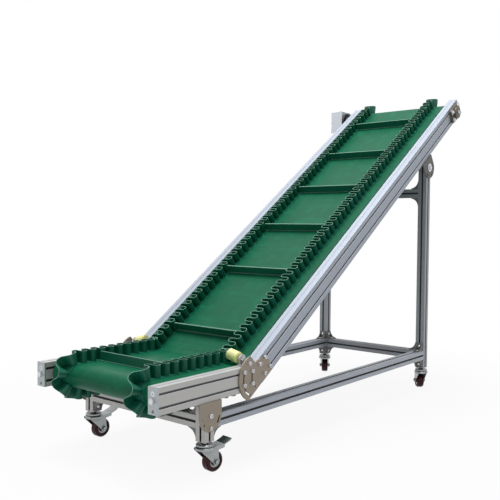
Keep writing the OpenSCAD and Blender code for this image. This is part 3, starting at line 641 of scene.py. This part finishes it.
# How far the strips stay inside the rails' ends
COVER_END = 0.5
covers = Shape("slot_covers", metal("cover_shade", rgb(84, 85, 88), 0.5, 0.1, ALONG, 0, 0.05).mat,
               metal("cover_light", LIFT_ALU_SHADED, 0.45, 0.2, ALONG, LIFT, 0.03).mat,
               metal("chamfer_highlight", rgb(238, 240, 244), 0.4, 0.2, ALONG, LIFT, 0.03).mat)
level_run = Matrix.Translation((0, 0, AXIS_Z))
lift_run = Matrix.Translation((KNEE_X, 0, AXIS_Z)) @ Matrix.Rotation(-LIFT, 4, "Y")
for side in (-1, 1):
    for run, start, end in ((level_run, COVER_END, LOAD_LEN - KNEE_GAP - COVER_END),
                            (lift_run, LIFT_START + KNEE_GAP + COVER_END, LIFT_END - COVER_END)):
        face = [side * (RAIL_Y - COVER_IN), side * (RAIL_Y - COVER_IN - COVER_T)]
        for z in (-RAIL_H / 4, RAIL_H / 4):
            covers.block((start, min(face), z - SLOT_W / 2), (end, max(face), z + SLOT_W / 2), run)
            low = z - SLOT_W / 2
            edge = [(start, side * RAIL_Y, low), (start, side * (RAIL_Y - CHAMFER), low + CHAMFER),
                    (start, side * (RAIL_Y - CHAMFER), low)]
            ends = edge + [(end, y, z) for _, y, z in edge]
            covers.faces_of(ends, [(0, 1, 4, 3), (1, 2, 5, 4), (2, 0, 3, 5), (0, 2, 1), (3, 4, 5)], run, 2)
        y, top = side * LEG_Y, RAIL_H / 2 - TOP_IN
        covers.block((start, y - SLOT_W / 2, top - COVER_T), (end, y + SLOT_W / 2, top), run, 1)
covers.done()

# Rows are x and z of the knee plates' bolts
KNEE_BOLTS = [(390.6, 313.5), (365, 287.9), (405.2, 287), (443.7, 303.7), (472, 322.3), (498.9, 289.7),
              (470.1, 270.2), (365.5, 246.4), (405.8, 246.9)]
BEARING_BOLTS = (37, 20)
BEARING_T = 12
# Distance from the front pivot to its lower screw, and height of both heads
LOWER_SCREW, LOW_HEAD = 38, 4
# The hold-down brackets' screws: middle from the rails' end, half spacing, place from the rails'
# inner faces and height of the face they sit on
HOLD_BACK, HOLD_HALF, HOLD_IN, HOLD_UP = 22, 9, 24, 4.2
bolts = Shape("plate_bolts", BRIGHT, SHADE_RING, ZINC)
for side in (-1, 1):
    out = (0, side, 0)
    skin = side * (RAIL_Y + PLATE)
    for x, z in KNEE_BOLTS:
        cap_screw(bolts, (x, skin, z), out, 12.5, 7)
    cap_screw(bolts, (FRONT_X, skin, FRONT_PIVOT_Z), out, 15, LOW_HEAD, 2)
    cap_screw(bolts, (FRONT_X, skin, FRONT_PIVOT_Z - LOWER_SCREW), out, 12, LOW_HEAD, 2)
    rear = toward((REAR_X, skin, REAR_PIVOT_Z), out)
    bolts.lathe([(0, 0), (19, 0), (19, 2.4), (16.5, 3.2), (12.5, 3.2), (11, 2), (0, 2)], rear, 48, 2)
    hex_bolt(bolts, (REAR_X, skin + side * 2, REAR_PIVOT_Z), out, 17, 0, kind=2)
    for along in (-BEARING_BOLTS[0], BEARING_BOLTS[0]):
        for across in (-BEARING_BOLTS[1], BEARING_BOLTS[1]):
            hex_bolt(bolts, on_lift(HEAD_AT + along, across, side * (RAIL_Y + BEARING_T)), out, 13, 1.6)
    # Countersunk screws over the take-up screws, then the hold-down brackets' screws on washers whose dark
    # colour is painted shade round the screws
    bolts.lathe([(0, 0), (8, 0), (8, 0.4), (3.4, 0.7), (3, -1.5), (0, -1.5)],
                toward((-PLATE, side * LEG_Y, LOAD_H - PROF / 2), (-1, 0, 0)), 32)
    for x in (-HOLD_HALF, HOLD_HALF):
        spot = (LOAD_LEN - HOLD_BACK + x, side * (GAP_Y + HOLD_IN), LOAD_H + HOLD_UP)
        bolts.lathe([(0, 0), (7.5, 0), (7.5, 0.9), (0, 0.9)], toward(spot, (0, 0, 1)), 32, 1)
        cap_screw(bolts, spot, (0, 0, 1), 9, 5)
bolts.done()

# A gusset's length and thickness, and how far from the corner its screws sit
GUSSET, GUSSET_T = 37, 4
GUSSET_SCREW = 0.58 * GUSSET


def gusset_places():
    """The corners that hold a gusset, with its legs along X and Z."""
    up = Matrix.Translation((0, 0, HALF))
    flips = [up, Matrix.Scale(-1, 4, (0, 0, 1)) @ up]
    for side in (-1, 1):
        spots = [Matrix.Translation((FRONT_X + HALF, side * LEG_Y, BASE_Z)),
                 Matrix.Translation((REAR_X - HALF, side * LEG_Y, BASE_Z)) @ Matrix.Scale(-1, 4, (1, 0, 0))]
        spots += [Matrix.Translation((x, side * GAP_Y, z)) @ Matrix.Rotation(-side * pi / 2, 4, "Z")
                  for x, z in ((FRONT_X, BASE_Z), (REAR_X, BASE_Z), (REAR_X, UPPER_Z))]
        for spot in spots:
            for flip in flips:
                yield spot @ flip


screws = Shape("gusset_screws", ZINC)
for corner in gusset_places():
    for at, way in (((GUSSET_SCREW, 0, GUSSET_T), (0, 0, 1)), ((GUSSET_T, 0, GUSSET_SCREW), (1, 0, 0))):
        button_screw(screws, corner @ Vector(at), corner.to_3x3() @ Vector(way), 12)
screws.done()

# Gearbox and motor. The gearbox reaches GEAR_UP over the head shaft and GEAR_DOWN under it
GEAR_UP, GEAR_DOWN, MOTOR_LEN, COVER_LEN = 58, 52, 130, 34
MOTOR_R = MOTOR_D / 2
# Screws on the gearbox's cap, their circle and the cap's face
CAP_SCREWS, CAP_R, CAP_OUT = 6, 29, 5.5
# The plugs on its top, along X from the shaft and along Y from its inner face
PLUGS = ((-30, 16), (30, 50))
FINS, FIN_HALF = 30, 1.1
# The terminal box: its reach from the motor's axis, half width and depths under the motor's upper face
BOX_IN, BOX_OUT, BOX_HALF, BOX_LOW, BOX_HIGH = 36, 72, 24, 96, 36
# Its lid's outer face, and how far the lid's edges and screws stand in from the box's edges
LID_OUT, LID_IN, LID_SCREW = 74.5, 2, 6
drive = Shape("drive_details", DRIVE, ZINC, BLACK)
mouth = toward((HEAD_X, GEAR_Y + GEAR_DEEP, HEAD_Z), (0, 1, 0))
drive.lathe([(36, 0), (36, 3.5), (33, CAP_OUT), (24, CAP_OUT), (22, 4), (12, 4)], mouth, 64)
for i in range(CAP_SCREWS):
    turn = 2 * pi / CAP_SCREWS * (i + 0.5)
    button_screw(drive, mouth @ Vector((CAP_R * cos(turn), CAP_R * sin(turn), CAP_OUT)), (0, 1, 0), 7, 1)
for x, y in PLUGS:
    hex_bolt(drive, (HEAD_X + x, GEAR_Y + y, HEAD_Z + GEAR_UP), (0, 0, 1), 12, 1.5, 0.2, 1)
# The motor's axis, with its origin at the motor's upper face
motor = Matrix.Translation((HEAD_X, GEAR_Y + GEAR_DEEP / 2, HEAD_Z - GEAR_DOWN))
for i in range(FINS):
    drive.block((MOTOR_R - 2, -FIN_HALF, 4 - MOTOR_LEN), (MOTOR_R + 0.8, FIN_HALF, -24),
                motor @ Matrix.Rotation(2 * pi * i / FINS, 4, "Z"))
drive.lathe([(MOTOR_R - 3, -22), (MOTOR_R + 0.9, -21), (MOTOR_R + 0.9, -11), (MOTOR_R - 4, -10)], motor, 64)
drive.block((BOX_IN, -BOX_HALF, -BOX_LOW), (BOX_OUT, BOX_HALF, -BOX_HIGH), motor)
drive.block((BOX_OUT, LID_IN - BOX_HALF, LID_IN - BOX_LOW),
            (LID_OUT, BOX_HALF - LID_IN, -BOX_HIGH - LID_IN), motor)
for z in (LID_SCREW - BOX_LOW, -BOX_HIGH - LID_SCREW):
    for y in (LID_SCREW - BOX_HALF, BOX_HALF - LID_SCREW):
        button_screw(drive, motor @ Vector((LID_OUT, y, z)), (1, 0, 0), 5, 1)
# Rings and bars of the cover's grille
grille = motor @ Matrix.Translation((0, 0, -MOTOR_LEN - COVER_LEN))
for r in (10, 18, 26, 34):
    drive.lathe([(r, 1), (r + 3, 1), (r + 3, 4), (r, 4), (r, 1)], grille, 48, 2)
for i in range(4):
    drive.block((0, -1.5, 1.5), (40, 1.5, 4), grille @ Matrix.Rotation(pi / 2 * i, 4, "Z"), 2)
drive.done()

# A caster's play beside its wheel, its cheek's thickness and outer face, and the level of its crown
WHEEL_PLAY, CHEEK_T = 2.5, 2.5
CHEEK_Y = WHEEL_W / 2 + WHEEL_PLAY + CHEEK_T
CROWN_Z = 83
for name, (x, side, angle) in CASTERS.items():
    base = Matrix.Translation((x, side * LEG_Y, 0)) @ Matrix.Rotation(radians(angle), 4, "Z")
    axle = base @ Matrix.Translation((TRAIL, 0, WHEEL_D / 2))
    turn = base.to_3x3()
    fork = Shape("caster_%s_nuts" % name, FORK)
    for way in (-1, 1):
        hex_bolt(fork, axle @ Vector((0, way * CHEEK_Y, 0)), turn @ Vector((0, way, 0)), 13, 1.2, 0.3)
    crown = base @ Matrix.Translation((0, 0, CROWN_Z))
    fork.lathe([(0, -12.6), (7, -12.6), (7.6, -11), (7.6, -9), (0, -9)], crown, 24)
    fork.done("fork_%s_body" % name)
    hub = Shape("caster_%s_hub" % name, FORK)
    for way in (-1, 1):
        spot = toward(axle.translation, turn @ Vector((0, way, 0)))
        hub.lathe([(12.5, 11.8), (12.5, 13), (18, 13.6), (19.5, 13), (19.5, 11.8)], spot, 48)
        hub.lathe([(5.2, 16.1), (9, 16.1), (9.6, 15.4), (9.6, 12)], spot, 32)
    hub.done("wheel_%s_body" % name)


# Stage

# Half the floor's side, and the distances from the machine between which it turns plain white, in metres
FLOOR, FADE_FROM, FADE_TO = 30, 0.7, 2.0


def make_stage():
    mesh = bpy.data.meshes.new("floor")
    corners = [(x * FLOOR, y * FLOOR, 0) for x, y in ((-1, -1), (1, -1), (1, 1), (-1, 1))]
    mesh.from_pydata(corners, [], [(0, 1, 2, 3)])
    floor = bpy.data.objects.new("floor", mesh)
    bpy.context.scene.collection.objects.link(floor)
    n = Nodes("floor_white")
    glow = n.put("ShaderNodeEmission", {"Color": (1, 1, 1, 1), "Strength": 1.0})
    grain = n.noise(3.0, 3.0)
    n.set("Base Color", n.mix(grain, (0.66, 0.66, 0.66, 1), (0.7, 0.7, 0.7, 1)))
    n.set("Roughness", 0.9)
    rays = n.put("ShaderNodeLightPath")
    # The floor keeps its shadow near the machine and turns plain white away from it
    away = n.put("ShaderNodeVectorMath", {0: n.coord}, operation="LENGTH").outputs["Value"]
    white = n.spread(away, 0.92, 1.0, FADE_FROM, FADE_TO)
    direct = n.math("MAXIMUM", rays.outputs["Is Camera Ray"], rays.outputs["Is Glossy Ray"])
    seen = n.math("MULTIPLY", direct, white)
    mix = n.put("ShaderNodeMixShader", {0: seen, 1: n.bsdf.outputs[0], 2: glow.outputs[0]})
    n.tree.links.new(mix.outputs[0], n.tree.nodes["Material Output"].inputs["Surface"])
    mesh.materials.append(n.mat)


def make_lights():
    world = bpy.data.worlds.new("world")
    world.use_nodes = True
    bpy.context.scene.world = world
    tree = world.node_tree
    back = tree.nodes["Background"]
    back.inputs["Color"].default_value = (0.98, 0.99, 1, 1)
    back.inputs["Strength"].default_value = 0.2
    white = tree.nodes.new("ShaderNodeBackground")
    white.inputs["Color"].default_value = (1, 1, 1, 1)
    white.inputs["Strength"].default_value = 1.0
    rays = tree.nodes.new("ShaderNodeLightPath")
    either = tree.nodes.new("ShaderNodeMath")
    either.operation = "MAXIMUM"
    tree.links.new(rays.outputs["Is Camera Ray"], either.inputs[0])
    both = tree.nodes.new("ShaderNodeMath")
    both.operation = "MAXIMUM"
    tree.links.new(rays.outputs["Is Glossy Ray"], both.inputs[0])
    tree.links.new(rays.outputs["Is Transmission Ray"], both.inputs[1])
    tree.links.new(both.outputs[0], either.inputs[1])
    mix = tree.nodes.new("ShaderNodeMixShader")
    tree.links.new(either.outputs[0], mix.inputs[0])
    tree.links.new(back.outputs[0], mix.inputs[1])
    tree.links.new(white.outputs[0], mix.inputs[2])
    tree.links.new(mix.outputs[0], tree.nodes["World Output"].inputs["Surface"])
    # Rows are name, place, aim, width, height and power
    rows = [("key", (-0.35, 0.35, 5.4), (0.0, 0, 0.5), 3.5, 3.0, 268),
            ("side", (1.6, -5.4, 2.2), (0.0, 0, 0.6), 2.0, 1.6, 20),
            ("tail", (-4.4, -0.6, 1.4), (0, 0, 0.5), 2.0, 1.4, 8)]
    for name, place, aim, wide, high, power in rows:
        light = bpy.data.lights.new(name, "AREA")
        light.shape = "RECTANGLE"
        light.size, light.size_y, light.energy = wide, high, power
        lamp = bpy.data.objects.new(name, light)
        bpy.context.scene.collection.objects.link(lamp)
        way = Vector(aim) - Vector(place)
        lamp.matrix_world = Matrix.Translation(place) @ way.to_track_quat("-Z", "Y").to_matrix().to_4x4()


make_stage()
make_lights()
bpy.context.scene.view_settings.view_transform = "Standard"
